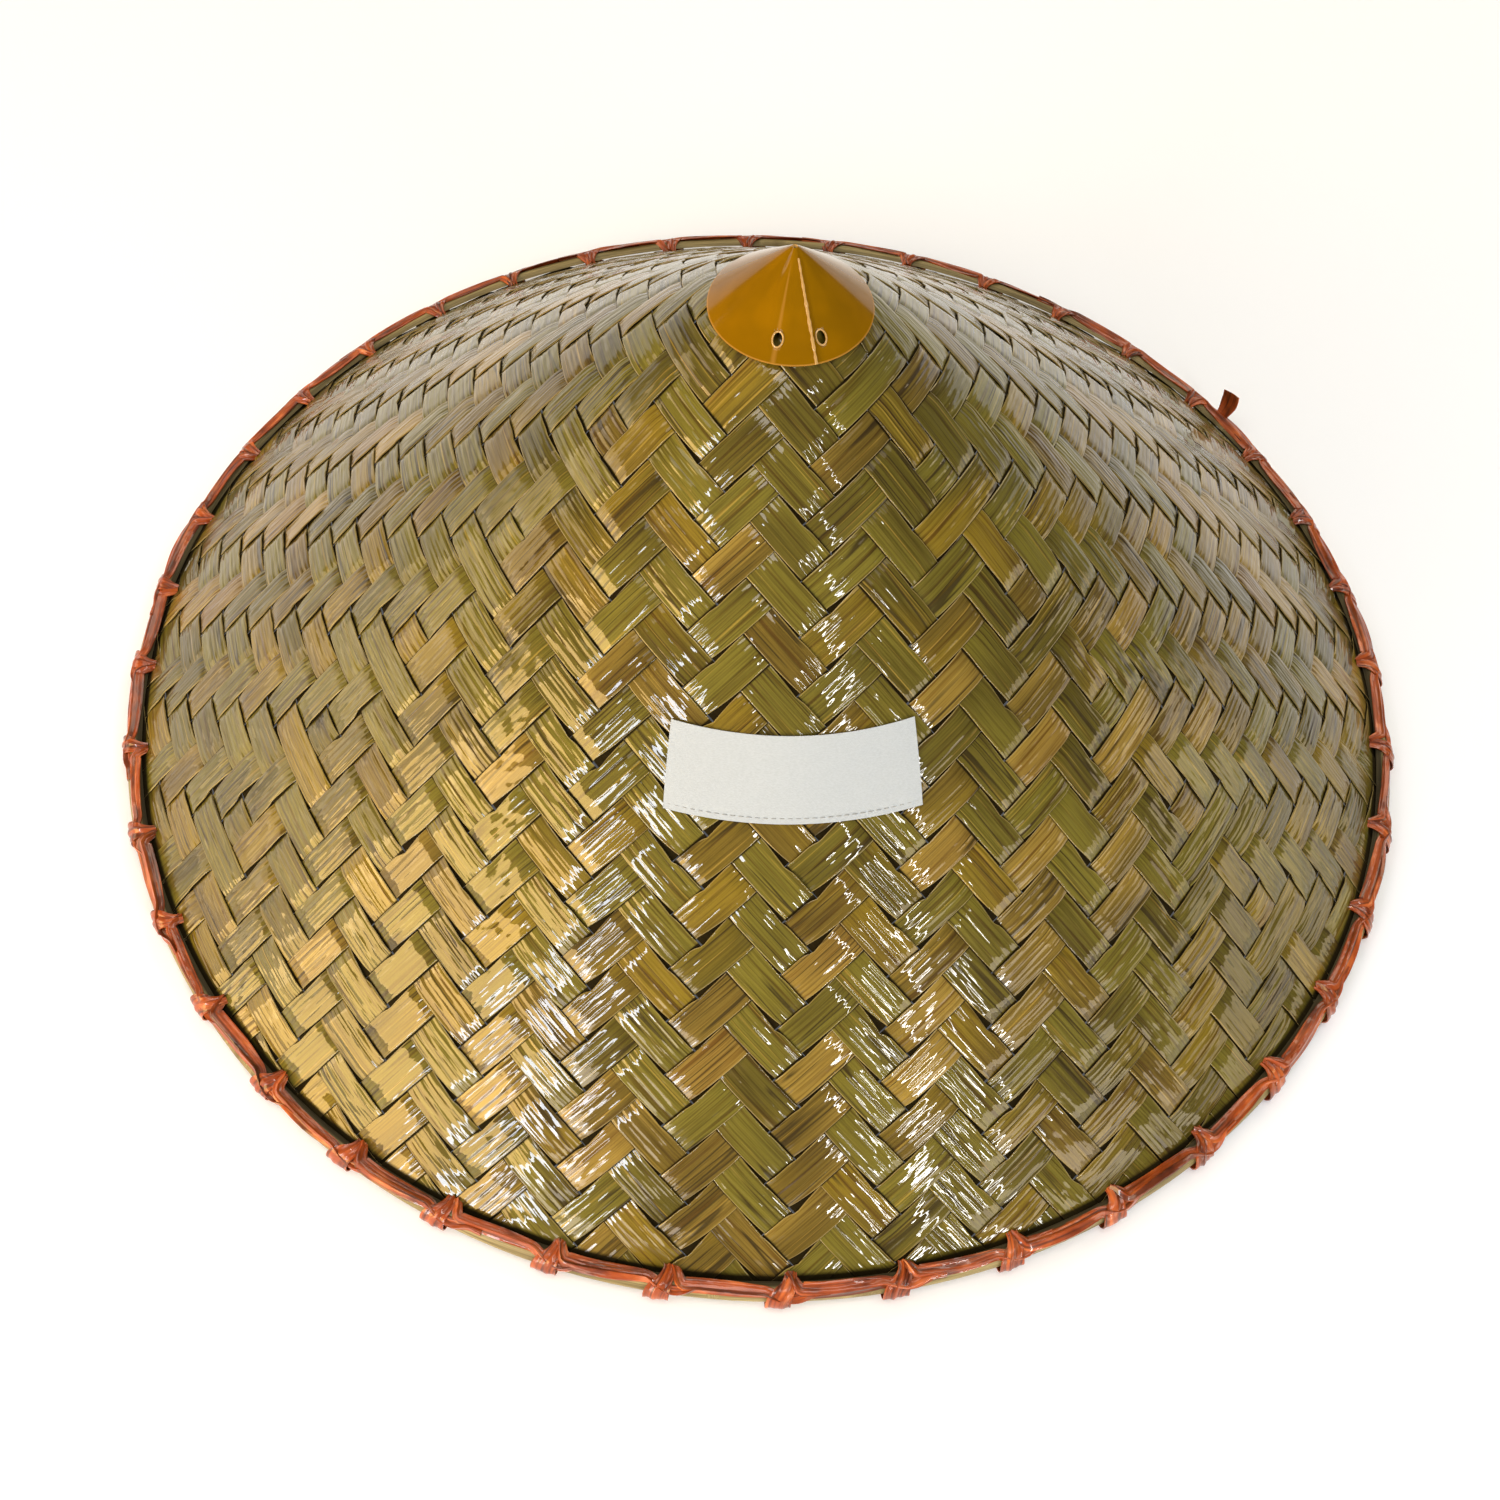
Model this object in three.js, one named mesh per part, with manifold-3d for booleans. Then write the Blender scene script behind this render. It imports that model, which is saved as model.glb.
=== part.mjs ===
// Conical bamboo hat, at its real size in millimetres, +Z up, resting on its rim at z = 0.
// The origin is the middle of the rim on the surface that the hat rests on, and the front faces -Y.
//
// A flat mat of bamboo splints, woven at right angles, closes into a cone when one quarter of it is
// left out. Three quarters of a full turn then go once round the hat, so a slant of 1 lies 0.75 from
// the axis. That ratio sets the slope of every piece here.

import * as THREE from "three";
import { mergeVertices } from "three/addons/utils/BufferGeometryUtils.js";
import Module from "manifold-3d";

const wasm = await Module();
wasm.setup();

// Driving dimensions
const hatRadius = 215; // to the outside of the rim lacing
const mattedQuarters = 3; // quarters of a flat mat that make up the cone
const wallThickness = 1.6;
const gap = 0.3; // between pieces that lie against each other
const segments = 80; // flats round the hat, two to each knot

const hoopRadius = 3; // half-round splints, flat side against the woven wall
const knotCount = 40;
const knotWidth = 6.5;
const strapThickness = 0.8;

const capSlant = 28.4; // from the tip down to the cap's lower edge
const capThickness = 0.8;
const capLift = 1.5; // the cap's tip stands this far above the woven tip
const capSeamTurn = 19.8; // degrees round from the front, where the outer layer ends
const capUnderTurn = -10.7; // where the hidden layer ends
const capHoleTurns = [-8.6, 28.6];
const capHoleSlant = 22.3;
const capHoleSize = { across: 2.6, along: 3.9 };

const labelSlant = { top: 123.8, bottom: 147.6 };
const labelWidth = { top: 66, bottom: 70.7 };
const labelThickness = 0.8;
const labelTurn = 5.6; // degrees round from the front to the label's middle

const tail = { turn: 128, length: 11, width: 7.5, lean: 10 }; // the strap's loose end

// The cone: u runs down the slope, v stands square to it, pointing out
const closing = mattedQuarters / 4;
const drop = Math.sqrt(1 - closing * closing);
const slopeDegrees = THREE.MathUtils.radToDeg(Math.acos(closing));

// Half a bamboo rod is drawn with a flat that lies level when the rod's back faces down the slope
const flatHalfDegrees = 22.5;
const hoopCorners = [
  -90,
  -slopeDegrees - flatHalfDegrees,
  -slopeDegrees + flatHalfDegrees,
  slopeDegrees - flatHalfDegrees,
  slopeDegrees + flatHalfDegrees,
  90,
];
const hoopMiddleU = -hoopRadius;
const upperHoopV = gap;
const lowerHoopV = -wallThickness - gap;
const strapInside = hoopRadius + gap;
const strapOutside = strapInside + strapThickness;

// The rim's lowest flats lie on z = 0, and its outermost point at hatRadius
const edgeZ =
  strapOutside * Math.cos(THREE.MathUtils.degToRad(flatHalfDegrees)) +
  drop * hoopMiddleU -
  closing * lowerHoopV;
const edgeRadius =
  hatRadius - strapOutside - (closing * hoopMiddleU + drop * upperHoopV);
const slantLength = edgeRadius / closing;
const tipZ = edgeZ + slantLength * drop;

const radians = THREE.MathUtils.degToRad;

// A point of the cone's section, from its slant distance below the tip and its height off the wall
const sectionPoint = (slant, v) =>
  new THREE.Vector2(slant * closing + v * drop, tipZ - slant * drop + v * closing);
const rimPoint = (u, v) => sectionPoint(slantLength + u, v);

// A point of the section turned round the hat, in degrees from the front
function turned(point, degrees) {
  const a = radians(degrees);
  return new THREE.Vector3(
    point.x * Math.sin(a),
    -point.x * Math.cos(a),
    point.y,
  );
}

// Axes at one place on the rim: out from the hat's axis, up, and along the rim
function rimAxes(degrees) {
  const out = turned(new THREE.Vector2(1, 0), degrees);
  const up = new THREE.Vector3(0, 0, 1);
  return new THREE.Matrix4().makeBasis(out, up, out.clone().cross(up));
}

function solid(geometry) {
  const bare = geometry.index ? geometry.toNonIndexed() : geometry.clone();
  bare.deleteAttribute("normal");
  bare.deleteAttribute("uv");
  const merged = mergeVertices(bare, 1e-4);
  return new wasm.Manifold(
    new wasm.Mesh({
      numProp: 3,
      vertProperties: new Float32Array(merged.attributes.position.array),
      triVerts: new Uint32Array(merged.index.array),
    }),
  );
}

function geometryOf(manifold) {
  const { vertProperties, triVerts } = manifold.getMesh();
  const geometry = new THREE.BufferGeometry();
  geometry.setAttribute(
    "position",
    new THREE.BufferAttribute(vertProperties, 3),
  );
  geometry.setIndex(new THREE.BufferAttribute(triVerts, 1));
  return geometry;
}

// A ring or cone of one section, whose corners run anticlockwise with r to the right and z up
function revolved(corners) {
  return new THREE.LatheGeometry(corners, segments).rotateX(Math.PI / 2);
}

// A thin sheet bent from a flat box: place(across, down, out) gives each corner, each from 0 to 1
function bentSheet(acrossCount, downCount, place) {
  const sheet = new THREE.BoxGeometry(1, 1, 1, acrossCount, downCount, 1);
  const position = sheet.attributes.position;
  for (let i = 0; i < position.count; i++) {
    const at = place(
      position.getX(i) + 0.5,
      0.5 - position.getY(i),
      position.getZ(i) + 0.5,
    );
    position.setXYZ(i, at.x, at.y, at.z);
  }
  return sheet;
}

// The corners of half a rod, with its flat side at height v and its back towards side (1 up, -1 down)
function halfRound(radius, v, side) {
  return hoopCorners.map((degrees) =>
    rimPoint(
      hoopMiddleU + radius * Math.sin(radians(degrees)),
      v + side * radius * Math.cos(radians(degrees)),
    ),
  );
}

// Both half rods and the wall between them, as one outline wrapped at this radius
function bundleOutline(radius) {
  return [
    ...halfRound(radius, lowerHoopV, -1),
    ...halfRound(radius, upperHoopV, 1).reverse(),
  ];
}

function wovenWall() {
  const tipDrop = wallThickness / closing;
  const wall = solid(
    revolved([
      new THREE.Vector2(0, tipZ - tipDrop),
      rimPoint(0, -wallThickness),
      rimPoint(0, 0),
      new THREE.Vector2(0, tipZ),
    ]),
  );
  // One slot at each knot, where the strap goes through the wall above the hoops
  const slotU = hoopMiddleU - (strapInside + strapOutside) / 2;
  const slot = solid(
    new THREE.BoxGeometry(
      strapThickness + 2 * gap,
      3 * wallThickness,
      knotWidth + 2 * gap,
    )
      .rotateZ(-radians(slopeDegrees))
      .translate(
        rimPoint(slotU, -wallThickness / 2).x,
        rimPoint(slotU, -wallThickness / 2).y,
        0,
      ),
  );
  const slots = knotTurns().map((degrees) =>
    slot.transform(rimAxes(degrees).elements),
  );
  return wall.subtract(wasm.Manifold.union(slots));
}

function closedRing(corners) {
  return [...corners, corners[0]];
}

function hoop(v, side) {
  const corners = halfRound(hoopRadius, v, side);
  return solid(revolved(closedRing(side > 0 ? corners.reverse() : corners)));
}

function knotTurns() {
  const step = 360 / knotCount;
  return Array.from({ length: knotCount }, (_, i) => (i + 0.5) * step);
}

// The strap round the rim: a run along the upper hoop's back, a loop at each knot, and a loose end
function lacing() {
  const runFrom = 1;
  const runTo = 4;
  const inner = halfRound(strapInside, upperHoopV, 1).slice(runFrom, runTo);
  const outer = halfRound(strapOutside, upperHoopV, 1).slice(runFrom, runTo);
  const run = solid(revolved(closedRing([...inner, ...outer.reverse()])));

  const loopShape = new THREE.Shape(bundleOutline(strapOutside));
  loopShape.holes.push(new THREE.Path(bundleOutline(strapInside)));
  const loop = solid(
    new THREE.ExtrudeGeometry(loopShape, {
      depth: knotWidth,
      bevelEnabled: false,
    }).translate(0, 0, -knotWidth / 2),
  );
  const loops = knotTurns().map((degrees) =>
    loop.transform(rimAxes(degrees).elements),
  );
  return wasm.Manifold.union([run, ...loops, looseEnd()]);
}

// The strap's end stands up and out from the top of a knot
function looseEnd() {
  const root = rimPoint(hoopMiddleU, upperHoopV + strapInside);
  const flap = new THREE.BoxGeometry(strapThickness, tail.length, tail.width)
    .translate(0, tail.length / 2, 0)
    .rotateZ(-radians(tail.lean))
    .translate(root.x, root.y, 0);
  return solid(flap.applyMatrix4(rimAxes(tail.turn)));
}

// A plastic sheet rolled to a cone, with its ends lapped over each other and two punched holes
function tipCap() {
  const innerEdge = sectionPoint(capSlant, gap);
  const innerTip = new THREE.Vector2(0, tipZ + capLift);
  const down = innerEdge.clone().sub(innerTip).normalize();
  const out = new THREE.Vector2(-down.y, down.x);
  const tipRise = capThickness / out.y;
  const capPoint = (share, v) =>
    innerTip.clone().lerp(innerEdge, share).addScaledVector(out, v);
  const sheet = solid(
    revolved([
      innerTip,
      innerEdge,
      capPoint(1, capThickness),
      new THREE.Vector2(0, innerTip.y + tipRise),
    ]),
  );

  const lapStart = 0.06; // the lap begins a little below the tip
  const lapThin = 0.25;
  const lap = bentSheet(10, 1, (across, along, outward) => {
    const turn = capUnderTurn + across * (capSeamTurn - capUnderTurn);
    const rise = lapThin + across * (capThickness - lapThin);
    const v = capThickness / 2 + outward * (capThickness / 2 + rise);
    return turned(capPoint(lapStart + along * (1 - lapStart), v), turn);
  });

  const holeShare = capHoleSlant / capSlant;
  const punch = new THREE.CylinderGeometry(0.5, 0.5, 6 * capThickness, 12)
    .scale(capHoleSize.along, 1, capHoleSize.across)
    .rotateZ(-Math.atan2(out.x, out.y))
    .translate(capPoint(holeShare, 0).x, capPoint(holeShare, 0).y, 0);
  const holes = capHoleTurns.map((degrees) =>
    solid(punch).transform(rimAxes(degrees).elements),
  );
  return sheet.add(solid(lap)).subtract(wasm.Manifold.union(holes));
}

// A woven ribbon label laid round the cone, a little wider at its lower edge
function label() {
  return solid(
    bentSheet(12, 1, (across, along, outward) => {
      const slant = THREE.MathUtils.lerp(labelSlant.top, labelSlant.bottom, along);
      const width = THREE.MathUtils.lerp(labelWidth.top, labelWidth.bottom, along);
      const reach = THREE.MathUtils.radToDeg(width / (slant * closing));
      const point = sectionPoint(slant, gap + outward * labelThickness);
      return turned(point, labelTurn + (across - 0.5) * reach);
    }),
  );
}

const materials = {
  splint: new THREE.MeshStandardMaterial({
    color: 0x8f8449,
    roughness: 0.38,
    metalness: 0,
  }),
  hoop: new THREE.MeshStandardMaterial({
    color: 0xb5a468,
    roughness: 0.5,
    metalness: 0,
  }),
  strap: new THREE.MeshStandardMaterial({
    color: 0xbd5a3c,
    roughness: 0.4,
    metalness: 0,
  }),
  cap: new THREE.MeshStandardMaterial({
    color: 0xa86f06,
    roughness: 0.3,
    metalness: 0,
  }),
  label: new THREE.MeshStandardMaterial({
    color: 0xe6e7e4,
    roughness: 0.85,
    metalness: 0,
  }),
};

function piece(name, manifold, material) {
  const mesh = new THREE.Mesh(geometryOf(manifold), material);
  mesh.name = name;
  return mesh;
}

const hat = new THREE.Group();
hat.add(
  piece("woven_cone", wovenWall(), materials.splint),
  piece("upper_hoop", hoop(upperHoopV, 1), materials.hoop),
  piece("lower_hoop", hoop(lowerHoopV, -1), materials.hoop),
  piece("rim_lacing", lacing(), materials.strap),
  piece("tip_cap", tipCap(), materials.cap),
  piece("front_label", label(), materials.label),
);

export default hat;
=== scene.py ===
"""Looks of the conical bamboo hat: woven splints, rim hoops, lacing strap, tip cap and blank label.

The hat stands in metres on z = 0, with its tip up and its front towards -Y.
"""

import math
from functools import partial

import bpy
import numpy as np
from bpy.props import FloatProperty, FloatVectorProperty, IntProperty, PointerProperty
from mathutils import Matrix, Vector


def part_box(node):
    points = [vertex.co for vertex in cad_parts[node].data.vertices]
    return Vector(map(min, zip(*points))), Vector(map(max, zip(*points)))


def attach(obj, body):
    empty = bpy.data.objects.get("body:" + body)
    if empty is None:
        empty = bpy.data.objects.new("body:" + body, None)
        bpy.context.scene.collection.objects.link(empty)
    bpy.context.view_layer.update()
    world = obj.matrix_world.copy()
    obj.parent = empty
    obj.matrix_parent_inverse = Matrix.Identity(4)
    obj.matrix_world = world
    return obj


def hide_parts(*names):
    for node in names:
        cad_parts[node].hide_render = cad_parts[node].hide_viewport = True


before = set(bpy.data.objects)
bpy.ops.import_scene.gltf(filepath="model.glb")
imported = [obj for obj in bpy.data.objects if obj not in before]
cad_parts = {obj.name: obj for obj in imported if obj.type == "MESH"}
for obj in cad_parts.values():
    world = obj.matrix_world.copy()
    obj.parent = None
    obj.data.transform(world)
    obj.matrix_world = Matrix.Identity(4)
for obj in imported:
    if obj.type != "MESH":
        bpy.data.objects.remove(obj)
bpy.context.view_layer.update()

bl_info = {
    "name": "Conical bamboo hat",
    "version": (1, 0, 0),
    "blender": (4, 5, 0),
    "location": "View3D > Sidebar > Bamboo hat",
    "description": "Weaves, laces and finishes a conical bamboo hat on its modelled frame",
    "category": "Object",
}

MM = 0.001
BODY = "root"
SEED = 11
ANY_PHASE = 6.28  # a wave starts anywhere in about one turn

# The cone, read from the modelled wall. Three quarters of a flat mat go once round it.
WALL_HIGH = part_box("woven_cone")[1]
TIP_Z = WALL_HIGH.z
EDGE_RADIUS = WALL_HIGH.x
CLOSING = 3 / 4
DROP = math.sqrt(1 - CLOSING**2)
SLANT = EDGE_RADIUS / CLOSING
WALL = 1.6 * MM
GAP = 0.3 * MM
QUARTER = math.pi / 2
RAYS = 3

# The rim's bundle: two half rods with the wall's edge between them, and the knots round them
HOOP_MIDDLE = -3.0 * MM
HOOP_RADIUS = 2.85 * MM
UPPER_HOOP_LIFT = GAP
LOWER_HOOP_LIFT = -WALL - GAP
KNOTS = 40


def linear(hex_colour):
    """An sRGB hex colour as linear red, green, blue and alpha."""
    parts = [int(hex_colour[i : i + 2], 16) / 255 for i in (1, 3, 5)]
    return [c / 12.92 if c <= 0.04045 else ((c + 0.055) / 1.055) ** 2.4 for c in parts] + [1.0]


def joined(*parts):
    """Like parts of many points, map places or faces, put together in a last axis."""
    return np.stack(np.broadcast_arrays(*parts), axis=-1)


def unit(way):
    return way / np.linalg.norm(way, axis=-1, keepdims=True)


def on_cone(slant, turn, lift):
    """Points from the slant below the tip, the turn from the front in radians and the lift off the wall."""
    radius = slant * CLOSING + lift * DROP
    height = TIP_Z - slant * DROP + lift * CLOSING
    return joined(radius * np.sin(turn), -radius * np.cos(turn), height)


def at_rim(down, turn, lift):
    """Points near the rim, from the distance down the slope past the wall's edge."""
    return on_cone(SLANT + down, turn, lift)


def circle(count):
    return np.linspace(0, math.tau, count, endpoint=False)


def smoothstep(x):
    x = np.clip(x, 0, 1)
    return x * x * (3 - 2 * x)


def wander(rng, count, waves, size):
    """A slow random drift over count steps, made of a few waves."""
    steps = np.arange(count)
    drift = np.zeros(count)
    for _ in range(waves):
        length = rng.uniform(5, 14)
        drift += np.sin(math.tau * (steps / length + rng.random()))
    return size * drift / math.sqrt(waves)


def grid_faces(rows, columns, ring=True, hoop=False):
    """Four-sided faces between rows of points.

    ring closes each row on itself, and hoop joins the last row to the first."""
    i = np.arange(rows if hoop else rows - 1)[:, None] * columns
    j = np.arange(columns if ring else columns - 1)[None, :]
    k = (j + 1) % columns
    ahead = (i + columns) % (rows * columns)
    return joined(i + j, i + k, ahead + k, ahead + j).reshape(-1, 4)


def turned_over(faces):
    return faces[:, [0, 3, 2, 1]]


def new_object(title, data):
    """An object in the scene, with a mesh, a lamp or a lens."""
    made = bpy.data.objects.new(title, data)
    bpy.context.scene.collection.objects.link(made)
    return made


class Pile:
    """Collects the points, faces and values of many like solids, to make one mesh of them."""

    def __init__(self):
        self.points, self.faces, self.finishes = [], [], []
        self.along, self.seams, self.tone = [], [], []
        self.count = 0

    def add(self, points, faces, finishes=0, along=None, tone=0.0, seams=None):
        """faces number this solid's own points, from 0.

        along holds each point's distances along and across its strip, in metres.
        seams holds its distances from where the strip dives under another, and from the strip's edge."""
        points = points.reshape(-1, 3)
        total = len(points)
        self.points.append(points)
        self.faces += [[corner + self.count for corner in face] for face in faces]
        self.finishes += [finishes] * len(faces) if np.ndim(finishes) == 0 else list(finishes)
        self.along.append(np.zeros((total, 2)) if along is None else along.reshape(-1, 2))
        self.seams.append(np.ones((total, 2)) if seams is None else seams.reshape(-1, 2))
        self.tone.append(np.full(total, tone))
        self.count += total

    def tube(self, rings, **values):
        """Adds a tube with closed ends. rings has one row of points for each station."""
        count, around = rings.shape[:2]
        corners = list(range(count * around))
        ends = [corners[around - 1 :: -1], corners[-around:]]
        self.add(rings, grid_faces(count, around).tolist() + ends, **values)

    def piece(self, title, materials, sharp_degrees=40):
        mesh = bpy.data.meshes.new(title)
        mesh.from_pydata(np.concatenate(self.points).tolist(), [], self.faces)
        for material in materials:
            mesh.materials.append(material)
        mesh.polygons.foreach_set("material_index", np.array(self.finishes, np.int32))
        corners = np.zeros(len(mesh.loops), np.int32)
        mesh.loops.foreach_get("vertex_index", corners)
        for name, places in (("strip", self.along), ("seams", self.seams)):
            layer = mesh.uv_layers.new(name=name)
            layer.data.foreach_set("uv", np.concatenate(places)[corners].astype(np.float32).ravel())
        tone = mesh.attributes.new("tone", "FLOAT", "POINT")
        tone.data.foreach_set("value", np.concatenate(self.tone).astype(np.float32))
        mesh.polygons.foreach_set("use_smooth", np.ones(len(mesh.polygons), bool))
        mesh.set_sharp_from_angle(angle=math.radians(sharp_degrees))
        mesh.update()
        return new_object(title, mesh)


def dress(piece, slot, *nodes):
    """Puts a finished piece on the hat's body, in place of the plain solids that it stands for."""
    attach(piece, BODY)
    if nodes:
        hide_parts(*nodes)


# Materials


def add_node(tree, kind, *inputs, out=0, sockets=None, stops=None, **settings):
    """Adds a node with its settings and links, and returns one of its outputs.

    inputs go to its first sockets in order, and sockets holds others by name or number. Each is a
    value, a hex colour or another node's output. stops holds the places and colours of a ramp."""
    node = tree.nodes.new("ShaderNode" + kind)
    for name, value in settings.items():
        setattr(node, name, value)
    for key, value in [*enumerate(inputs), *(sockets or {}).items()]:
        if isinstance(value, bpy.types.NodeSocket):
            tree.links.new(value, node.inputs[key])
        else:
            node.inputs[key].default_value = linear(value) if isinstance(value, str) else value
    if stops:
        node.color_ramp.interpolation = "EASE"
        while len(node.color_ramp.elements) < len(stops):
            node.color_ramp.elements.new(0.5)
        for element, (place, colour) in zip(node.color_ramp.elements, stops):
            element.position = place
            element.color = linear(colour) if isinstance(colour, str) else [*colour, 1.0]
    return node.outputs[out] if node.outputs else None


def emptied(owner):
    """Clears the nodes of a new material or world, and returns the function that adds nodes to it."""
    owner.use_nodes = True
    owner.node_tree.nodes.clear()
    return partial(add_node, owner.node_tree)


def make(recipe, settings):
    """A new material with its recipe's name and nodes."""
    material = bpy.data.materials.new(recipe.__name__)
    recipe(emptied(material), settings)
    return material


def lay_coats(add, colour, *coats):
    """Lays coats over a colour, each with a mask or None, its strength, its colour and how it blends."""
    for mask, strength, coat, blend in coats:
        share = strength if mask is None else add("Math", mask, strength, operation="MULTIPLY")
        sockets = {0: share, 6: colour, 7: coat}
        colour = add("Mix", out=2, sockets=sockets, data_type="RGBA", blend_type=blend)
    return colour


def finish(add, colour, roughness, relief=None, deep_mm=0.0, strength=1.0, ior=1.5, **shine):
    """The last nodes of a material. relief is its bumps, which a clear coat has too."""
    sockets = {name.replace("_", " "): value for name, value in shine.items()}
    sockets |= {"Base Color": colour, "Roughness": roughness, "IOR": ior}
    if relief is not None:
        bumps = {"Strength": strength, "Distance": deep_mm * MM, "Height": relief}
        sockets["Normal"] = add("Bump", sockets=bumps)
        if "Coat Weight" in sockets:
            sockets["Coat Normal"] = sockets["Normal"]
    add("OutputMaterial", add("BsdfPrincipled", sockets=sockets))


def map_parts(add, name):
    """Both parts of one of the piece's maps."""
    both = add("UVMap", uv_map=name)
    return add("SeparateXYZ", both, out="X"), add("SeparateXYZ", both, out="Y")


def strip_place(add):
    """The distances along and across a strip in millimetres, and the strip's own number from 0 to 1."""
    along, across = (add("Math", part, 1 / MM, operation="MULTIPLY") for part in map_parts(add, "strip"))
    return along, across, add("Attribute", out="Fac", attribute_name="tone")


STRIPS_APART = 173.0  # how far apart the first and the last strip lie in the noise


def grain(add, place, along_mm, across_mm, shift=0.0, detail=2.0):
    """Noise drawn out along the strip, whose blotches are about along_mm by across_mm."""
    along, across, tone = place
    where = add(
        "CombineXYZ",
        add("Math", along, along_mm, operation="DIVIDE"),
        add("Math", across, across_mm, operation="DIVIDE"),
        add("Math", tone, STRIPS_APART, shift, operation="MULTIPLY_ADD"),
    )
    return add("TexNoise", sockets={"Vector": where, "Scale": 1.0, "Detail": detail})


def seam_shadow(add):
    """1 in the dark where a splint dives under another, half of that at its long edges, and 0 elsewhere."""
    dive, edge = map_parts(add, "seams")
    soft = {"interpolation_type": "SMOOTHSTEP"}
    ends = add("MapRange", dive, -0.10 * MM, 0.45 * MM, 1.0, 0.0, **soft)
    sides = add("MapRange", edge, 0.02 * MM, 0.24 * MM, 0.5, 0.0, **soft)
    return add("Math", ends, sides, operation="MAXIMUM")


def worn_edge_and_highlight(add, place):
    """Above 0 just inside a splint's long edges, where it is paler in places: partly wear from the knife's
    cut, partly a painted highlight where the edge catches the light.
    """
    edge = add("MapRange", map_parts(add, "seams")[1], 0.14 * MM, 0.33 * MM, 0.9, 0.0)
    return add("Math", edge, grain(add, place, 18, 6, 83.0), operation="MULTIPLY")


def splits(add, place):
    """Thin dark lines along some splints, where the bamboo has split between its fibres."""
    off = add("Math", grain(add, place, 110, 2.4, 61.0, 0.0), 0.5, operation="SUBTRACT")
    line = add("MapRange", add("Math", off, operation="ABSOLUTE"), 0.015, 0.04, 1.0, 0.0)
    some = add("MapRange", grain(add, place, 45, 14, 71.0, 0.0), 0.50, 0.56)
    return add("Math", line, some, operation="MULTIPLY")


def rim_painted_shade(add):
    """1 in a narrow band of painted shade on the weave against the upper rod, where the rim's bundle shades
    it, and 0 elsewhere.
    """
    flat = add("VectorMath", add("TexCoord", out="Object"), (1, 1, 0), operation="MULTIPLY")
    radius = add("VectorMath", flat, out="Value", operation="LENGTH")
    starts = EDGE_RADIUS - 6.2 * MM
    return add("MapRange", radius, starts, starts + 0.8 * MM)


def lacquered_splint_skin(add, settings):
    """Bamboo splint, skin side, split by knife and brushed with clear varnish.

    The eye gets long fibre lines, a tone that changes from splint to splint, and wet white glints."""
    place = strip_place(add)
    slow = add("Math", grain(add, place, 70, 30, 3.0, 1.0), 0.6, -0.20, operation="MULTIPLY_ADD")
    tone = add("Math", place[2], 0.80, slow, operation="MULTIPLY_ADD")
    skins = [
        (0.00, settings.skin_green),
        (0.20, settings.skin_olive),
        (0.36, settings.skin_dark_olive),
        (0.52, settings.skin_khaki),
        (0.66, settings.skin_dark_khaki),
        (0.80, settings.skin_straw),
        (0.92, settings.skin_tan),
        (1.00, settings.skin_brown),
    ]
    # The real fibres are about 0.2 mm apart, and are drawn at 0.5 mm so that they show
    fibre = grain(add, place, 24, 0.5, 17.0)
    # Painted shade: where a splint dives under another, along its long edges and in the band against the
    # upper rod, the skin is drawn near black and loses its varnish's shine
    dark = add("Math", seam_shadow(add), rim_painted_shade(add), operation="MAXIMUM")
    streak = add("ValToRGB", grain(add, place, 60, 1.3, 11.0), stops=[(0.30, "#bfa983"), (0.46, "#ffffff")])
    pale = add("ValToRGB", grain(add, place, 90, 0.9, 29.0), stops=[(0.60, "#000000"), (0.74, "#ffffff")])
    shade = add("ValToRGB", fibre, stops=[(0.28, "#988668"), (0.62, "#ffffff")])
    colour = lay_coats(
        add,
        add("ValToRGB", tone, stops=skins),
        (None, 1.0, streak, "MULTIPLY"),
        (pale, 0.45, "#b39440", "MIX"),
        (None, 0.62, shade, "MULTIPLY"),
        # The pale band at the long edges is partly wear and partly a painted highlight
        (worn_edge_and_highlight(add, place), 1.0, "#b9a262", "MIX"),
        (splits(add, place), 0.8, "#1c1406", "MIX"),
        (dark, 0.97, "#0a0703", "MIX"),
    )
    # Ridges of fibre and runs of the brush break the varnish's reflections into streaks
    ridges = grain(add, place, 20, 1.2, 41.0, 0.5)
    relief = add("Math", grain(add, place, 5.5, 2.4, 53.0, 0.5), 0.8, ridges, operation="MULTIPLY_ADD")
    dull = add("Math", fibre, 0.20, 0.40, operation="MULTIPLY_ADD")
    rough = add("Math", dark, 0.45, dull, operation="MULTIPLY_ADD")
    varnish = add("Math", dark, -0.75, 0.75, operation="MULTIPLY_ADD")
    shine = {"Specular_IOR_Level": 0.32, "Specular_Tint": "#ffdf9c"}
    coat = {"Coat_Weight": varnish, "Coat_Roughness": 0.03, "Coat_IOR": 1.6}
    finish(add, colour, rough, relief, deep_mm=0.30, **shine, **coat)


def bare_splint_pith(add, settings):
    """Bamboo splint, pith side and knife-cut edges, left bare. The eye gets pale matt straw with fibres."""
    place = strip_place(add)
    slow = add("Math", grain(add, place, 60, 20), 0.5, operation="MULTIPLY")
    tone = add("Math", place[2], 0.6, slow, operation="MULTIPLY_ADD")
    straw = add("ValToRGB", tone, stops=[(0.1, "#a58e50"), (0.5, settings.pith), (0.9, "#9c7f41")])
    fibre = grain(add, place, 25, 0.35, 7.0)
    shade = add("ValToRGB", fibre, stops=[(0.25, "#9a9a9a"), (0.75, "#ffffff")])
    # Painted shade on the pith and cut edges near where the splint dives under another
    dive = add("Math", map_parts(add, "seams")[0], operation="ABSOLUTE")
    dark = add("MapRange", dive, 0.1 * MM, 0.7 * MM, 1.0, 0.0, interpolation_type="SMOOTHSTEP")
    colour = lay_coats(add, straw, (None, 0.8, shade, "MULTIPLY"), (dark, 0.75, "#2a1e0c", "MIX"))
    finish(add, colour, 0.6, fibre, deep_mm=0.05)


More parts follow.
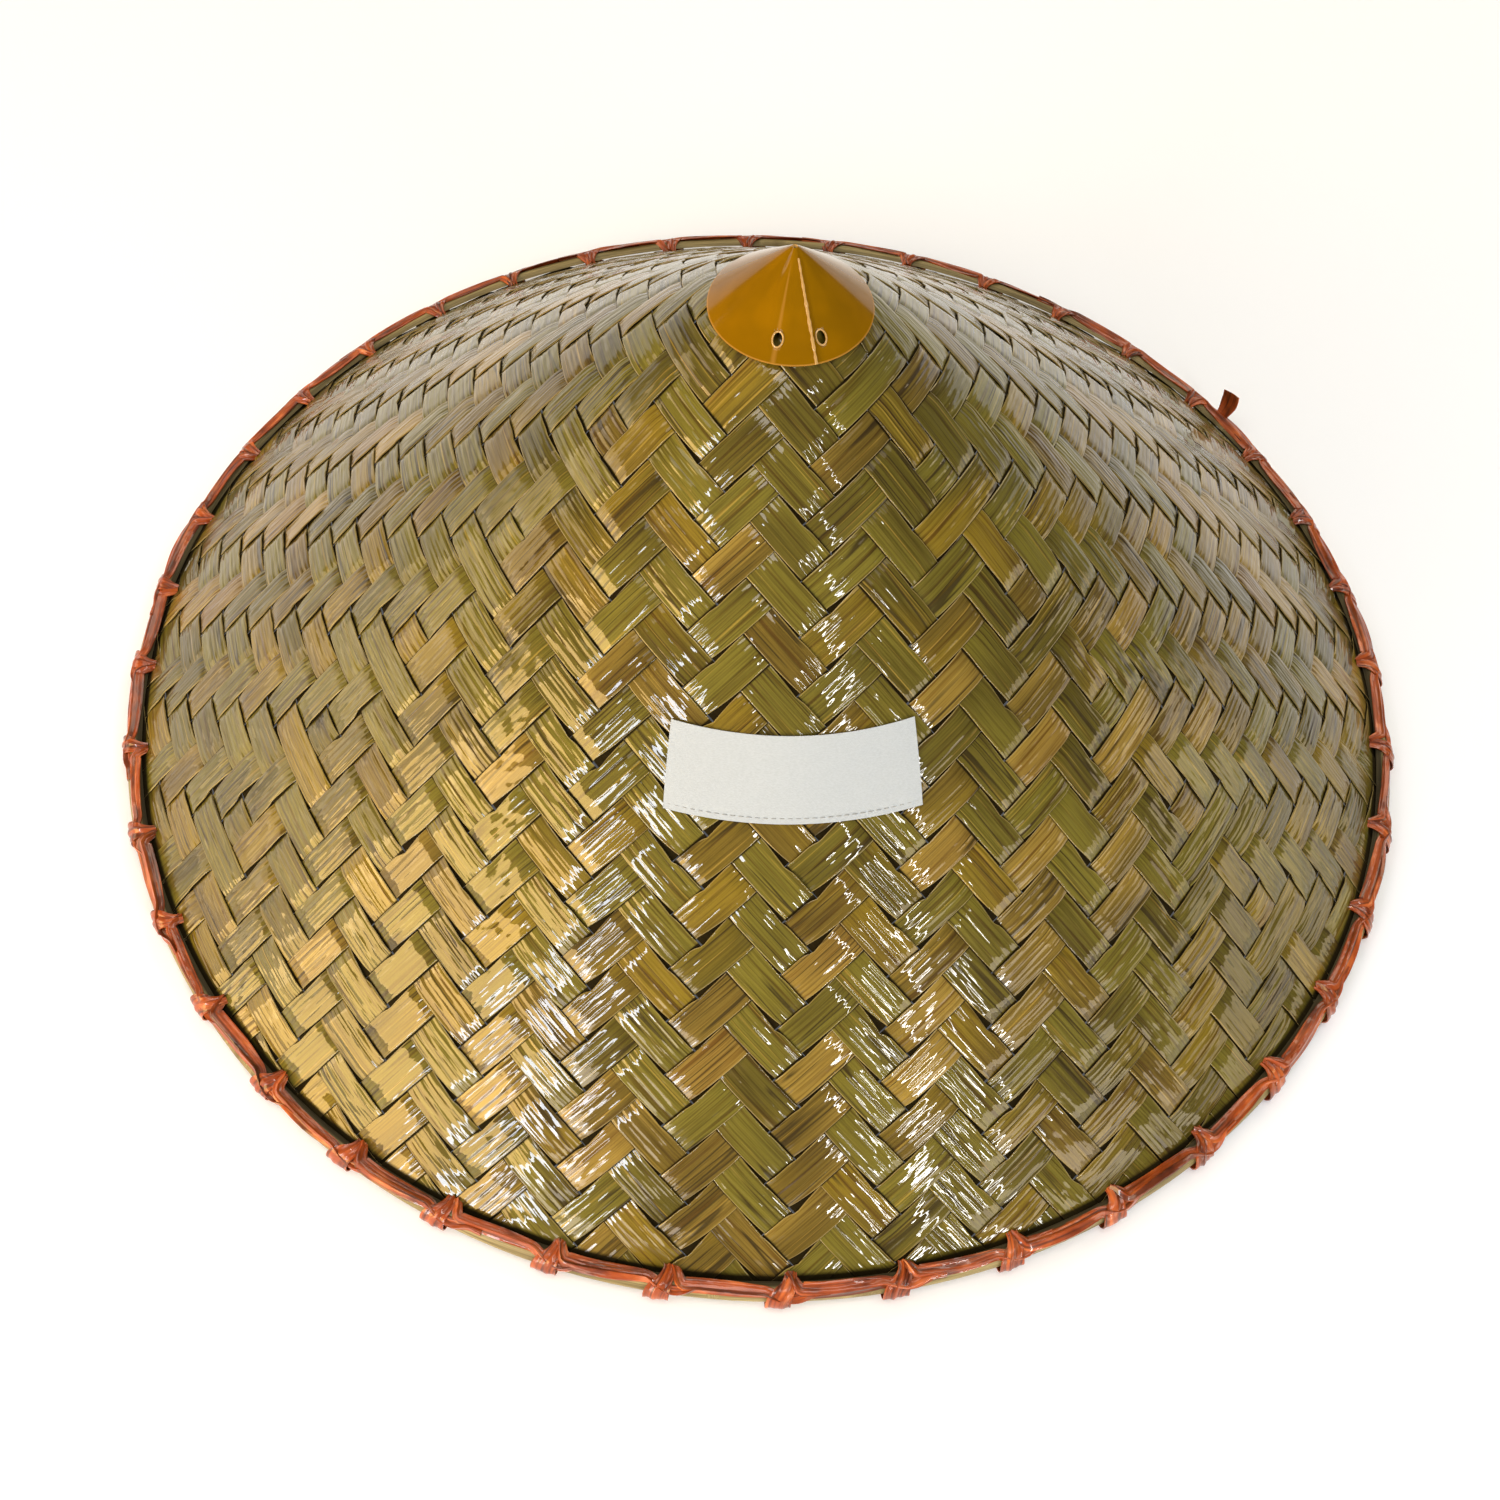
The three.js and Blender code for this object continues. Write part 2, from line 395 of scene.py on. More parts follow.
def scraped_bamboo_rod(add, settings):
    """Split bamboo rod, scraped and left bare. The eye gets pale straw with fibre lines and darker joints."""
    place = strip_place(add)
    stops = [(0.3, settings.rod_shade), (0.55, settings.rod_straw), (0.8, settings.rod_pale)]
    straw = add("ValToRGB", grain(add, place, 60, 3), stops=stops)
    fibre = grain(add, place, 20, 0.4, 7.0)
    shade = add("ValToRGB", fibre, stops=[(0.25, "#9c9c9c"), (0.75, "#ffffff")])
    # Painted shade along the rod's inner side, where the strap and the cone keep the front lamps off it, and
    # less of it at the back, where that side faces the lamps
    inner = add("MapRange", place[1], -1.9, -3.1, 0.0, 0.85, interpolation_type="SMOOTHSTEP")
    behind = add("SeparateXYZ", add("TexCoord", out="Object"), out="Y")
    front = add("MapRange", behind, 0.02, 0.17, 1.0, 0.25)
    rod_painted_shade = add("Math", inner, front, operation="MULTIPLY")
    colour = lay_coats(
        add,
        straw,
        (None, 0.8, shade, "MULTIPLY"),
        (place[2], 0.7, "#5d4a22", "MIX"),
        (rod_painted_shade, 1.0, "#0c0803", "MIX"),
    )
    rough = add("Math", rod_painted_shade, 0.5, 0.45, operation="MULTIPLY_ADD")
    finish(add, colour, rough, fibre, deep_mm=0.06, Specular_IOR_Level=0.3)


def drawn_polypropylene_strap(add, settings):
    """Polypropylene strapping tape, drawn and fluted, copper red.

    The eye gets a waxy sheen, dark folds and long flutes."""
    place = strip_place(add)
    stops = [(0.25, settings.strap_dark), (0.5, settings.strap_red), (0.75, settings.strap_bright)]
    patch = add("ValToRGB", grain(add, place, 9, 3, 5.0), stops=stops)
    flute = grain(add, place, 30, 0.95, 13.0, 1.0)
    # The flutes are drawn darker where they dip: painted shade of the folds
    shade = add("ValToRGB", flute, stops=[(0.3, "#565656"), (0.56, "#ffffff")])
    crumple = grain(add, place, 3.4, 1.8, 23.0, 1.0)
    relief = add("Math", crumple, 1.4, flute, operation="MULTIPLY_ADD")
    colour = lay_coats(add, patch, (None, 0.75, shade, "MULTIPLY"))
    depth = {"Subsurface_Weight": 0.1, "Subsurface_Radius": (0.002, 0.0006, 0.0003), "Subsurface_Scale": 0.5}
    coat = {"Coat_Weight": 0.6, "Coat_Roughness": 0.06, "Coat_IOR": 1.5}
    finish(add, colour, 0.38, relief, deep_mm=0.15, ior=1.49, Specular_IOR_Level=0.3, **depth, **coat)


def calendered_vinyl(add, place, worn, sheet, pale=None):
    """The patches, waves and fine scratches of vinyl sheet. pale is a mask of painted highlights, where the
    sheet is drawn paler.
    """
    colour = add("ValToRGB", grain(add, place, 12, 9, 2.0), stops=[(0.3, worn), (0.7, sheet)])
    if pale is not None:
        colour = lay_coats(add, colour, (pale, 1.0, "#b9863e", "MIX"))
    wave = add("Math", grain(add, place, 30, 4.0, 9.0, 1.0), 0.25, operation="MULTIPLY")
    scratch = grain(add, place, 9, 0.25, 19.0)
    relief = add("Math", scratch, 0.05, wave, operation="MULTIPLY_ADD")
    rough = add("Math", scratch, 0.08, 0.06, operation="MULTIPLY_ADD")
    finish(add, colour, rough, relief, deep_mm=0.10, strength=0.6, Specular_IOR_Level=0.35)


def glossy_vinyl_sheet(add, settings):
    """Vinyl sheet, calendered smooth, ochre, bent cold to a cone.

    The eye gets sharp reflections, and two painted highlights: a faint pale line from near the tip and a
    paler line along the cut edge."""
    place = strip_place(add)
    along, across, _ = place
    # A painted highlight: a faint pale line from near the tip to the left hole
    beside = add("Math", across, HIGHLIGHT_LINE_ACROSS / MM, operation="SUBTRACT")
    line = add("MapRange", add("Math", beside, operation="ABSOLUTE"), 0.12, 0.62, 0.28, 0.0)
    highlight_line = add("Math", line, add("MapRange", along, 3.0, 9.0), operation="MULTIPLY")
    # The knife rounds the lower edge, and a painted highlight runs along it where it would catch the light
    tip, edge, _ = cap_line(settings)
    end = float(np.linalg.norm(edge - tip)) / MM
    lower_edge_highlight = add("MapRange", along, end - 0.50, end - 0.20, 0.0, 0.5)
    pale = add("Math", highlight_line, lower_edge_highlight, operation="MAXIMUM")
    calendered_vinyl(add, place, settings.sheet_worn, settings.sheet, pale)


def knife_cut_vinyl_edge(add, settings):
    """The same vinyl where the knife and the punch cut it. The eye gets a thin pale line."""
    calendered_vinyl(add, strip_place(add), settings.burr_worn, settings.burr)


def woven_polyester_ribbon(add, settings):
    """Polyester ribbon, woven with fine threads and cut hot. The eye gets matt white and a faint rib."""
    # The real threads are about 0.12 mm apart, and are drawn at 0.4 mm so that they show
    waves = math.tau / 0.4
    warp, weft = (
        add("Math", add("Math", way, waves, operation="MULTIPLY"), operation="SINE")
        for way in strip_place(add)[:2]
    )
    relief = add("Math", warp, weft, operation="MULTIPLY")
    patch = add("TexNoise", sockets={"Scale": 90.0, "Detail": 3.0})
    colour = add("ValToRGB", patch, stops=[(0.3, settings.cloth_shade), (0.7, settings.cloth_white)])
    sheen = {"Sheen_Weight": 0.15, "Sheen_Roughness": 0.5}
    finish(add, colour, 0.78, relief, deep_mm=0.03, strength=0.6, **sheen)


def spun_polyester_thread(add, settings):
    """Polyester sewing thread, twisted, pale grey. The eye gets short matt stitches."""
    twist = grain(add, strip_place(add), 1.5, 0.5)
    finish(add, add("ValToRGB", twist, stops=[(0.3, "#8f9294"), (0.7, settings.thread)]), 0.7)


def matt_painted_board(add, settings):
    """Painted board, rolled matt, white."""
    patch = add("TexNoise", sockets={"Scale": 3.0, "Detail": 2.0})
    colour = add("ValToRGB", patch, stops=[(0.2, "#eff2f7"), (0.8, settings.floor_white)])
    # A faint cool glow keeps the board white in the picture under the warm lights
    finish(add, colour, 0.9, ior=1.45, Emission_Color="#d9e6ff", Emission_Strength=0.10)


# The weave


SLITS = 64  # how many slits along a seam have a width of their own


def crossing_state(splint, cell):
    """1 where a splint runs over the one that it crosses, and -1 where it runs under.

    Cells count outward on both sides of the splint's own ray, from 0 on the right and -1 on the left.
    Two over and two under, shifted by one from splint to splint."""
    right = (cell - splint) % 4 <= 1
    left = (splint + cell + 1) % 4 >= 2
    return np.where(np.where(cell >= 0, right, left), 1.0, -1.0)


def edge_state(splint, edge):
    """The same between the cells edge - 1 and edge: 0 where the splint passes from over to under."""
    return (crossing_state(splint, edge - 1) + crossing_state(splint, edge)) / 2


def splint_rows(settings, rng):
    """For each ray, the distance from the tip to the middle of each splint that crosses it."""
    pitch = settings.splint_pitch
    count = int(SLANT / pitch)
    rows = []
    for _ in range(RAYS):
        even = (np.arange(count) + 0.5) * pitch
        rows.append(even + wander(rng, count, 3, settings.unevenness) + rng.normal(0, 0.12 * MM, count))
    return rows


def row_edges(row, pitch):
    """The lines between neighbouring splints of one row, from the ray's start to past the last one."""
    return np.concatenate([[0.0], (row[1:] + row[:-1]) / 2, [row[-1] + pitch / 2]])


class Seams:
    """The lines between neighbouring splints, which sway, and the slits along them, which open and close."""

    def __init__(self, settings, rng, edges):
        self.edges = edges
        self.sway = settings.sway
        self.slit = settings.slit
        self.wedge = settings.wedge
        self.phase = rng.uniform(0, math.tau, (len(edges), 4))
        self.length = rng.uniform(14, 30, (len(edges), 2)) * MM
        self.open = np.minimum(rng.lognormal(-0.1, 0.55, (len(edges), SLITS)), 2.2)

    def line(self, number, station):
        phase, length = self.phase[number], self.length[number]
        return self.edges[number] + self.sway * np.sin(station / length[0] + phase[0])

    def half_slit(self, number, station, lines):
        phase, length = self.phase[number], self.length[number]
        wave = 0.5 + 0.5 * np.sin(station / length[1] + phase[1])
        small = 0.5 + 0.5 * np.sin(station * 2.7 / length[0] + phase[2])
        return self.slit * (0.35 + 0.9 * wave**2 + 0.35 * small) + self.gape(number, station, lines)

    def gape(self, number, station, lines):
        """How far the slit gapes.

        Where both neighbours lie on top it opens outward to a corner, and it closes past that corner."""
        last = (len(lines) - 1) // 2
        place = np.clip(np.searchsorted(lines, station) - 1, 0, len(lines) - 2)
        share = (station - lines[place]) / (lines[place + 1] - lines[place])
        cell = place - last
        outward = np.where(cell >= 0, share, 1 - share)
        inward = cell - np.where(cell >= 0, 1, -1)
        here = self.both_on_top(number, cell)
        past = self.both_on_top(number, inward)
        width = np.where(here, outward**1.4, np.where(past, np.clip(1 - outward / 0.35, 0, 1) ** 2, 0))
        # Slits gape less near the middle of the splints
        side = 0.45 + 0.85 * smoothstep(np.abs(station) / (120 * MM))
        return self.wedge * width * side * self.open[number, np.where(here, cell, inward) % SLITS]

    @staticmethod
    def both_on_top(number, cell):
        return (crossing_state(number - 1, cell) > 0) & (crossing_state(number, cell) > 0)


SECTION = np.array(
    [
        # across, height: shares of the half width and of the half thickness
        (-1.00, 0.35),
        (-0.975, 0.90),
        (-0.935, 1.00),
        (0.935, 1.00),
        (0.975, 0.90),
        (1.00, 0.35),
        (0.98, -1.00),
        (-0.98, -1.00),
    ]
)
SKIN_SIDES = 5  # the section's first five sides are the skin, and the rest are cut edges and pith


def to_rim(station, reach, away):
    """Stations drawn out or squeezed towards a splint's ends, so that they end on the rim's circle."""
    room = np.sqrt(np.maximum(SLANT**2 - away**2, (4 * MM) ** 2))
    return station + np.sign(station) * (np.abs(station) / reach) ** 3 * (room - reach)


def splint_lean(rng, number, cells):
    """A splint leans where the one that it lies on climbs or dives beneath it."""
    other = np.where(cells >= 0, cells, -cells - 1)
    own_inner = np.where(cells >= 0, -number, number)
    own_outer = np.where(cells >= 0, -number - 1, number + 1)
    lean = edge_state(other, own_outer) - edge_state(other, own_inner)
    return lean * rng.normal(1, 0.25, len(cells)) + rng.normal(0, 0.10, len(cells))


def weave_splint(pile, settings, rng, rows, seams, ray, number):
    """Bends one splint over and under those that it crosses, from rim to rim across its ray."""
    pitch = settings.splint_pitch
    middle = rows[ray][number]
    reach = math.sqrt(SLANT**2 - middle**2)
    steps = max(4, int(2 * reach / (pitch / settings.steps_per_cell)))
    station = np.linspace(-reach, reach, steps + 1)

    right, left = (ray + 1) % RAYS, (ray - 1) % RAYS
    last = len(rows[ray])
    cells = np.arange(-last, last)
    centres = np.concatenate([-rows[left][::-1], rows[right]])
    lines = np.concatenate([-seams[left].edges[::-1], seams[right].edges[1:]])
    changes = lines[edge_state(number, np.arange(-last, last + 1)) == 0]

    own = seams[ray]
    tip_side = to_rim(station, reach, own.edges[number])
    rim_side = to_rim(station, reach, own.edges[number + 1])
    near_tip = own.line(number, tip_side) + own.half_slit(number, tip_side, lines)
    near_rim = own.line(number + 1, rim_side) - own.half_slit(number + 1, rim_side, lines)
    bed = (near_tip + near_rim) / 2 - middle
    half = (near_rim - near_tip) / 2
    across = bed[:, None] + SECTION[None, :, 0] * half[:, None]
    away = middle + across
    along = to_rim(station[:, None], reach, away)

    # The distance from where the splint dives under another: above 0 where it lies on top
    cell = np.clip(np.searchsorted(lines, along) - 1, 0, len(cells) - 1)
    dive = np.abs(along[..., None] - changes).min(axis=-1) * crossing_state(number, cells)[cell]

    # Each float is flat and tips a little its own way, and the splint bends down just before it dives
    ends = np.concatenate([[changes[0] - 2 * pitch], changes, [changes[-1] + 2 * pitch]])
    tips = rng.normal(0, settings.tip, (2, len(ends) - 1))
    floats = np.searchsorted(changes, along)
    flat = smoothstep(dive / (3.5 * MM))
    off_middle = along - (ends[floats] + ends[floats + 1]) / 2
    swing = np.clip((dive - settings.early) / settings.bend, -1, 1)
    lift = settings.weave_middle + settings.rise * np.sin(swing * QUARTER)
    lift = lift + flat * tips[0][floats] * 0.4 * off_middle

    leans = splint_lean(rng, number, cells)
    tilt = settings.rise * settings.lean * np.interp(along, centres, leans) / pitch
    tilt = tilt + flat * tips[1][floats] + 0.008 * np.sin(along / (31 * MM) + rng.uniform(0, ANY_PHASE))
    lift = lift + tilt * across + SECTION[None, :, 1] * settings.splint_thickness / 2

    theta = math.radians(settings.weave_turn) + QUARTER * (ray - 0.5) + np.arctan2(along, away)
    rings = on_cone(np.hypot(away, along), theta / CLOSING, lift)
    strip = joined(along, across)
    near = joined(dive, (1 - np.abs(SECTION[:, 0])) * pitch / 2)
    side = np.tile(np.where(np.arange(len(SECTION)) < SKIN_SIDES, 0, 1), steps)
    pile.tube(rings, along=strip, tone=rng.random(), finishes=[*side, 1, 1], seams=near)


# The rim


def round_rod(angle, radius, upper=True):
    """A point round one half rod, as a distance down the slope and a lift off the wall.

    The angle is from straight off the wall, turning down the slope."""
    base, side = (UPPER_HOOP_LIFT, 1) if upper else (LOWER_HOOP_LIFT, -1)
    return HOOP_MIDDLE + radius * np.sin(angle), base + side * radius * np.cos(angle)


def bend_rod(settings, name, upper):
    """A half-round rod bent to a hoop, with its flat side on the wall and a few bamboo joints."""
    joints, joint_size = 6, 2.2 * MM
    turn = circle(360)
    swell = np.zeros(len(turn))
    rng = np.random.default_rng(SEED + (7 if upper else 8))
    for joint in np.arange(joints) * math.tau / joints + rng.uniform(0, 0.5, joints):
        near = np.abs((turn - joint + math.pi) % math.tau - math.pi) * EDGE_RADIUS
        swell += np.exp(-((near / joint_size) ** 2))
    angle = np.linspace(-QUARTER, QUARTER, 13)
    radius = HOOP_RADIUS * (1 + 0.02 * swell[:, None] + 0.012 * np.sin(turn * 17)[:, None])
    down, lift = round_rod(angle, radius, upper)
    rings = at_rim(down, turn[:, None], lift)
    strip = joined(turn[:, None] * EDGE_RADIUS, radius * angle)
    faces = grid_faces(len(turn), len(angle), hoop=True)
    if not upper:
        faces = turned_over(faces)
    pile = Pile()
    pile.add(rings, faces.tolist(), along=strip, tone=np.repeat(swell, len(angle)))
    return pile.piece(name, [make(scraped_bamboo_rod, settings)], sharp_degrees=50)


def ribbon(pile, line, side, up, width, thickness, pleats, tone):
    """A strap of tape along a line of points. side and up are unit vectors at each point.

    pleats gives, for each station, the height of each of the tape's points across it."""
    wide = np.linspace(-1, 1, pleats.shape[1]) * 0.5 * width[:, None]
    top = line[:, None] + side[:, None] * wide[..., None] + up[:, None] * pleats[..., None]
    low = top - up[:, None] * thickness
    rings = np.concatenate([top, low[:, ::-1]], axis=1)
    run = np.concatenate([[0], np.cumsum(np.linalg.norm(np.diff(line, axis=0), axis=1))])
    wide = np.concatenate([wide, wide[:, ::-1]], axis=1)
    pile.tube(rings, along=joined(run[:, None], wide), tone=tone)


def frames(line, outward):
    """Unit vectors across and off a line, from a rough outward direction at each point."""
    ahead = unit(np.gradient(line, axis=0))
    up = unit(outward - ahead * np.sum(outward * ahead, axis=1, keepdims=True))
    return np.cross(ahead, up), up


def gathered(rng, across, width, full, fold_size=0.10, fold_place=0.0):
    """The pleats of tape of a full width that is gathered to a narrower one: one fold and some flutes."""
    spare = np.sqrt(np.maximum(full**2 - width**2, 0))
    fold = np.exp(-(((across - fold_place - rng.uniform(-0.3, 0.3)) / rng.uniform(0.24, 0.40)) ** 2))
    flute = np.cos(across * rng.uniform(8, 11) + rng.uniform(0, ANY_PHASE)) * (1 - 0.5 * across**2)
    return spare[:, None] * (fold_size * fold + 0.030 * flute)[None, :]


def knot_path(settings):
    """The stitch round the bundle, as distances down the slope and lifts, from hole to hole."""
    clear = settings.strap_thickness + 0.1 * MM
    hole = HOOP_MIDDLE - settings.hole_setback
    # Round the upper rod the strap stands off more and more, and round the lower one it lies close
    wrap = np.linspace(-0.62, QUARTER, 16)
    off = clear + (0.45 + 0.75 * smoothstep(wrap / 1.2)) * MM
    over = joined(*round_rod(wrap, HOOP_RADIUS + off))
    return_angle = np.linspace(QUARTER, -0.75, 16)
    under = joined(*round_rod(return_angle, HOOP_RADIUS + (clear - 0.14 * MM), upper=False))
    # Between the hole and the rods it bows a little on its way up, and goes straight on its way back
    climb = np.linspace(0, 1, 7)[:-1, None]
    rise = np.array([[hole, -0.3 * MM]]) * (1 - climb) + over[:1] * climb
    rise[:, 1] += 0.35 * MM * np.sin(climb[:, 0] * math.pi)
    back = under[-1:] * climb[::-1] + np.array([[hole, -WALL + 0.3 * MM]]) * (1 - climb[::-1])
    return np.concatenate([rise, over, under, back])


def rod_middle(bend):
    """The middle of the rim's bundle, beside each point of a strap."""
    return at_rim(HOOP_MIDDLE, bend, -WALL / 2)


def lace_knot(pile, settings, rng, turn):
    """One stitch: narrow where it goes through the wall, and fanned out round the rim's outer side."""
    path = knot_path(settings)
    share = np.linspace(0, 1, len(path))
    fan = smoothstep(share / 0.34) * smoothstep((1 - share) / 0.5)
    narrow = 3.4 * MM  # the tape's width in the holes
    width = narrow + (settings.knot_width - narrow) * fan * rng.uniform(0.9, 1.08)
    sweep = smoothstep(share / 0.36) * smoothstep((1 - share) / 0.36)
    skew = settings.hole_skew * (1 - 1.25 * sweep) * rng.uniform(0.75, 1.2) + rng.normal(0, 0.3 * MM)
    bend = turn + skew / EDGE_RADIUS
    line = at_rim(path[:, 0], bend, path[:, 1])
    side, up = frames(line, line - rod_middle(bend))
    pleats = gathered(rng, np.linspace(-1, 1, 13), width, settings.knot_width * 1.12)
    pleats = pleats * smoothstep((1 - share) / 0.45)[:, None]
    ribbon(pile, line, side, up, width, settings.strap_thickness, pleats, rng.random())


def lace_run(pile, settings, rng, turn, next_turn):
    """The strap from one hole to the next knot.

    It comes up pinched, spreads along the top of the upper rod, and goes under the next knot."""
    share = np.linspace(0, 1.42, 48)  # the next knot's middle is at 1
    leave = smoothstep(share / 0.11)
    spread = smoothstep(share / 0.13) * (1 - 0.62 * smoothstep((share - 0.55) / 0.42))
    full = settings.strap_width * rng.uniform(0.9, 1.25)
    narrow = 2.4 * MM  # the tape's width where it comes up pinched
    width = narrow + (full * 0.86 - narrow) * spread - 0.5 * MM * smoothstep((share - 1.15) / 0.2)
    # It lies on the rod's inner half, and at the back of the hat on its outer half
    lane = rng.uniform(-0.80, -0.42) + 0.85 * smoothstep((-math.cos(turn) - 0.45) / 0.5)
    under = smoothstep((share - 0.85) / 0.25)
    past = under * (1 - 0.8 * smoothstep((share - 1.12) / 0.2))
    angle = lane + 0.12 * np.sin(share * 4.3 + rng.uniform(0, ANY_PHASE)) + (0.22 - lane) * past
    down, lift = round_rod(angle, HOOP_RADIUS + (settings.strap_thickness + 0.40 * MM * (1 - under)))
    hole = HOOP_MIDDLE - settings.hole_setback
    down = hole + (down - hole) * leave
    lift = -0.2 * MM + (lift + 0.2 * MM) * leave + rng.uniform(0.4, 1.2) * MM * np.sin(math.pi * leave)
    bend = turn + (next_turn - turn) * share
    bend = bend + settings.hole_skew / EDGE_RADIUS * (1 - smoothstep(share / 0.5)) * rng.uniform(0.9, 1.2)
    line = at_rim(down, bend, lift)
    side, up = frames(line, line - rod_middle(bend))
    # The tape rolls to one side between the knots, and bends to the rod
    roll = rng.uniform(-0.45, 0.45) * np.sin(np.clip(share, 0, 1) * math.pi) + rng.normal(0, 0.1)
    turned = side * np.cos(roll)[:, None] + up * np.sin(roll)[:, None]
    up = up * np.cos(roll)[:, None] - side * np.sin(roll)[:, None]
    across = np.linspace(-1, 1, 13)
    crown = 4.6 * MM  # the radius that the tape bends to across the rod
    droop = -((width[:, None] / 2 * across) ** 2) / (2 * crown)
    pleats = droop + gathered(rng, across, width, full * 1.15, fold_size=0.20, fold_place=0.2)
    ribbon(pile, line, turned, up, width, settings.strap_thickness, pleats, rng.random())


def strap_end(pile, settings, rng):
    """The cut end of the strap, standing up and out from the rim at the back right."""
    turn = math.radians(settings.end_turn)
    lean = math.radians(18)
    share = np.linspace(0, 1, 14)
    down, lift = round_rod(0.05, HOOP_RADIUS + 0.5 * MM)
    out = np.array([math.sin(turn), -math.cos(turn), 0.0])
    rim_way = np.array([math.cos(turn), math.sin(turn), 0.0])
    climb = np.array([0.0, 0.0, 1.0]) * math.cos(lean) + out * math.sin(lean)
    bow = 1.1 * MM * np.sin(share * math.pi * 0.9)
    drift = 1.2 * MM * share**2
    line = at_rim(down, turn, lift) + climb * (share * settings.end_length)[:, None]
    line = line + out * bow[:, None] + rim_way * drift[:, None]
    side, up = frames(line, np.tile(out, (len(share), 1)))
    width = (5.0 + 2.6 * smoothstep(share * 1.6)) * MM
    across = np.linspace(-1, 1, 9)
    pleats = 0.35 * MM * np.cos(across * 3.1)[None, :] * (1 - 0.5 * share)[:, None]
    ribbon(pile, line, side, up, width, settings.strap_thickness, pleats, rng.random())


# The tip cap


CAP_UNROLL = 14 * MM  # the sheet's map is this wide for each radian round the cap
# Where the cap's painted highlight line runs on the sheet's map
HIGHLIGHT_LINE_ACROSS = (math.radians(-9.2) + math.tau) * CAP_UNROLL


def cap_line(settings):
    """The cap's inner tip, its lower edge and the way out from its surface, as radius and height."""
    slant = settings.cap_slant
    edge = np.array([slant * CLOSING + GAP * DROP, TIP_Z - slant * DROP + GAP * CLOSING])
    tip = np.array([0.0, TIP_Z + 1.5 * MM])
    down = unit(edge - tip)
    return tip, edge, np.array([-down[1], down[0]])


def roll_cap(settings):
    """Rolls one sheet to a cone and laps its end over its start."""
    tip, edge, out = cap_line(settings)
    start = math.radians(settings.cap_under_turn)
    end = math.radians(settings.cap_seam_turn) + math.tau
    turns = np.linspace(start, end, 170)
    sheet = settings.cap_thickness
    # The sheet has climbed over its start when it meets it, and it curls off over its last 9 degrees
    step_up = (sheet + 0.08 * MM) * smoothstep((turns - start - math.tau) / math.radians(26) + 1)
    curl = 0.25 * MM * smoothstep((turns - end) / math.radians(9) + 1)
    # Rows of points from the tip to the lower edge, closer at both ends
    shares = np.array([0.012, 0.05, 0.12, 0.22, 0.34, 0.46, 0.58, 0.70, 0.80, 0.88, 0.94, 0.975, 1.0])
    rows = []
    for offset, order in ((0.0, shares), (sheet, shares[::-1])):
        for share in order:
            point = tip + (edge - tip) * share
            lift = step_up + curl * share + offset
            radius, height = (point[i] + out[i] * lift for i in (0, 1))
            rows.append(joined(radius * np.sin(turns), -radius * np.cos(turns), height))
    rings = np.stack(rows, axis=1)
    reach = np.linalg.norm(edge - tip) * np.concatenate([shares, shares[::-1]])
    strip = joined(reach, turns[:, None] * CAP_UNROLL)
    cut_side = np.isin(np.arange(len(reach)), (len(shares) - 1, len(reach) - 1)).astype(int)
    pile = Pile()
    pile.tube(rings, along=strip, tone=0.4, finishes=[*np.tile(cut_side, len(turns) - 1), 1, 1])
    return pile


def cap_point(settings, slant, turn, lift):
    """A point on the cap and the way out there."""
    tip, edge, out = cap_line(settings)
    point = tip + (edge - tip) * (slant / settings.cap_slant) + out * lift
    way = np.array([math.sin(turn), -math.cos(turn)])
    return np.array([*point[0] * way, point[1]]), np.array([*out[0] * way, out[1]])


def hole_places(settings):
    """Each hole's middle on the cap's outside, and the ways out, down and sideways there."""
    for turn_degrees in (settings.left_hole_turn, settings.right_hole_turn):
        turn = math.radians(turn_degrees)
        middle, out = cap_point(settings, settings.hole_slant, turn, settings.cap_thickness)
        below, _ = cap_point(settings, settings.hole_slant + 1 * MM, turn, settings.cap_thickness)
        down = unit(below - middle)
        yield middle, out, down, np.cross(out, down)


def oval(settings, down, side, count, spare=0.0):
    """The outline of a hole from its middle, spare wider all round."""
    angle = circle(count)[:, None]
    half_length, half_width = settings.hole_length / 2 + spare, settings.hole_width / 2 + spare
    return np.cos(angle) * down * half_length + np.sin(angle) * side * half_width


def punch(cap, settings):
    """Cuts the two holes through the cap."""
    cutter = Pile()
    for middle, out, down, side in hole_places(settings):
        outline = middle + oval(settings, down, side, 28)
        cutter.tube(np.stack([outline + out * lift for lift in (-4 * MM, 4 * MM)]))
    tool = cutter.piece("cap_punch", [cap.data.materials[0]])
    cut = cap.modifiers.new("punch", "BOOLEAN")
    cut.operation = "DIFFERENCE"
    cut.solver = "EXACT"
    cut.object = tool
    bpy.context.view_layer.update()
    shaped = bpy.data.meshes.new_from_object(cap.evaluated_get(bpy.context.evaluated_depsgraph_get()))
    cap.modifiers.clear()
    cap.data = shaped
    bpy.data.objects.remove(tool)


def hole_lips(pile, settings):
    """The burr that the punch raised round each hole."""
    bead, around = 0.26 * MM, circle(8)[None, :, None]
    lifts = (0.85 * MM, 0.05 * MM)  # the left hole goes through the lap, whose end is one sheet higher
    for (middle, out, down, side), lift in zip(hole_places(settings), lifts):
        ring = oval(settings, down, side, 32, spare=0.12 * MM)
        turned = unit(ring)[:, None] * np.cos(around) + out * np.sin(around)
        rings = middle + out * lift + ring[:, None] + bead * turned
        pile.add(rings, grid_faces(*rings.shape[:2], hoop=True).tolist())


